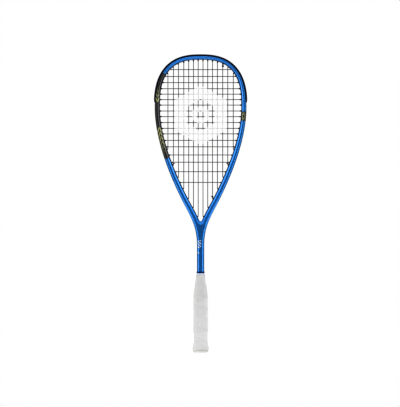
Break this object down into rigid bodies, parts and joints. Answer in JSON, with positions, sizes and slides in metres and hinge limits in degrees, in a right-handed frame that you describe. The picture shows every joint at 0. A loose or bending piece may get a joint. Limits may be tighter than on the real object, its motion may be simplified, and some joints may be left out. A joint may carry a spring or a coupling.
{
  "type": "squash racket",
  "caption": "Strung squash racket with a teardrop hollow frame, open throat, slim shaft, bumper guard, woven string bed and wrapped handle.",
  "frame": {"origin": "centre of the butt's flat end face", "axes": "+Z along the racket to the top of the hoop, +Y square to the string bed, out of one of its faces, +X across the racket"},
  "size_m": [0.2148, 0.0346, 0.686],
  "materials": {
    "frame_paint": "gloss blue lacquer over moulded carbon composite, with black and lime areas",
    "bumper_plastic": "satin dark blue nylon",
    "grommet_plastic": "matt black nylon",
    "string_black": "satin coated multifilament, with a white stencil",
    "handle_foam": "moulded foam",
    "cap_plastic": "satin white plastic",
    "grip_band": "white polyurethane grip, slightly tacky",
    "tape_white": "pearl white adhesive tape",
    "collar_rubber": "dark rubber"
  },
  "bodies": {
    "root": {"frame": "frame_paint", "bumper_guard": "bumper_plastic", "grommet_strip_left": "grommet_plastic", "grommet_strip_right": "grommet_plastic", "main_string": "string_black", "cross_string": "string_black", "handle_pallet_front": "handle_foam", "handle_pallet_back": "handle_foam", "butt_cap": "cap_plastic", "grip_wrap": "grip_band", "finishing_tape": "tape_white", "shaft_collar": "collar_rubber"}
  },
  "joints": []
}
